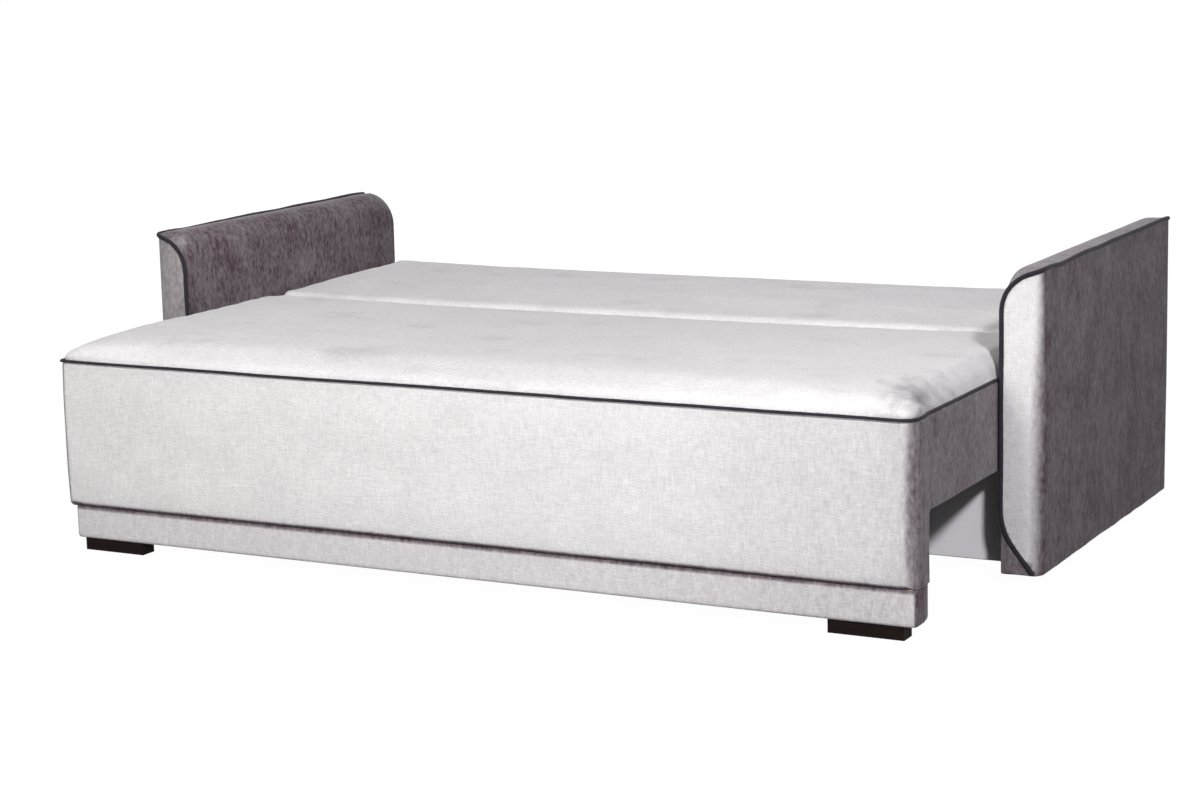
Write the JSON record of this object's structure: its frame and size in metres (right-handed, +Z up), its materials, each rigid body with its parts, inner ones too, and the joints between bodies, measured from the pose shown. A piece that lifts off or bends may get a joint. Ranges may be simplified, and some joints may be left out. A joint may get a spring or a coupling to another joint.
{
  "type": "sofa bed",
  "caption": "Pull-out sofa bed shown open: padded arms with piping, an L-shaped seat section drawn forward and the back lying flat behind it over a bedding box.",
  "frame": {"origin": "on the floor, at the middle of the open bed's bounding box", "axes": "+X along the width, towards the right arm as seen from the front; +Y towards the back; +Z up"},
  "size_m": [2.1786, 1.393, 0.6586],
  "materials": {
    "upholstery": "soft short-pile weave",
    "upholstery_sides": "soft short-pile weave, nap turned away from the light",
    "piping": "dark twill cord",
    "pine": "planed, bare",
    "chipboard": "pressed board",
    "laminate": "white laminated board, satin",
    "hardboard": "smooth hardboard",
    "wenge": "dark stained, satin",
    "felt": "thin black lining",
    "steel": "zinc plated",
    "nylon": "moulded"
  },
  "bodies": {
    "base": {"arm_core_left": "chipboard", "arm_core_right": "chipboard", "arm_cover_left": "upholstery", "arm_cover_right": "upholstery", "arm_piping_left": "piping", "arm_piping_right": "piping", "base_side_left": "chipboard", "base_side_right": "chipboard", "base_front_board": "laminate", "base_rear_board": "chipboard", "base_rest_blocks": "pine", "base_rear_cover": "upholstery_sides", "base_divider": "chipboard", "base_bottom": "hardboard", "base_feet": "nylon", "runner_left": "pine", "runner_right": "pine", "lever_bracket_left": "steel", "lever_bracket_right": "steel", "bracket_screws": "steel", "lever_nuts": "steel", "arm_bolts": "steel"},
    "seat": {"seat_side_rails": "pine", "seat_cross_rails": "pine", "seat_slats": "pine", "seat_cushion": "upholstery", "seat_side_left": "upholstery_sides", "seat_side_right": "upholstery_sides", "seat_rear_band": "upholstery_sides", "seat_piping": "piping", "seat_dust_cover": "felt", "apron_rails": "pine", "apron_posts": "pine", "apron_panel": "chipboard", "apron_pad": "upholstery", "apron_back": "felt", "plinth_rail": "pine", "plinth_cover": "upholstery", "front_feet": "wenge", "foot_screws": "steel", "roller_bracket_left": "steel", "roller_bracket_right": "steel", "roller_clips": "steel"},
    "seat_roller_left": {"roller_left": "nylon"},
    "seat_roller_right": {"roller_right": "nylon"},
    "levers": {"swing_arm_left": "steel", "swing_arm_right": "steel"},
    "back": {"back_side_rails": "pine", "back_cross_rails": "pine", "back_slats": "pine", "back_cushion": "upholstery", "back_dust_cover": "felt", "back_bracket_left": "steel", "back_bracket_right": "steel", "back_nuts": "steel"}
  },
  "joints": [
    {"name": "seat_slide", "type": "slide", "parent": "base", "child": "seat", "axis": [0, 1, 0], "range_m": [0, 0.4]},
    {"name": "roller_left_spin", "type": "hinge", "parent": "seat", "child": "seat_roller_left", "pos_m": [-0.955, 0.0665, 0.222], "axis": [1, 0, 0], "range_deg": [-1433, 0]},
    {"name": "roller_right_spin", "type": "hinge", "parent": "seat", "child": "seat_roller_right", "pos_m": [0.955, 0.0665, 0.222], "axis": [1, 0, 0], "range_deg": [-1433, 0]},
    {"name": "lever_swing", "type": "hinge", "parent": "base", "child": "levers", "pos_m": [0, 0.4005, 0.09], "axis": [1, 0, 0], "range_deg": [-102.5, 0]},
    {"name": "back_tilt", "type": "hinge", "parent": "levers", "child": "back", "pos_m": [0, 0.1325, 0.3084], "axis": [1, 0, 0], "range_deg": [0, 189.5]}
  ],
  "couplings": [
    {"joint": "roller_left_spin", "follows": "seat_slide", "rad_per_m": -62.5},
    {"joint": "roller_right_spin", "follows": "seat_slide", "rad_per_m": -62.5},
    {"joint": "lever_swing", "follows": "seat_slide", "rad_per_m": -4.469},
    {"joint": "back_tilt", "follows": "seat_slide", "rad_per_m": 8.265}
  ]
}
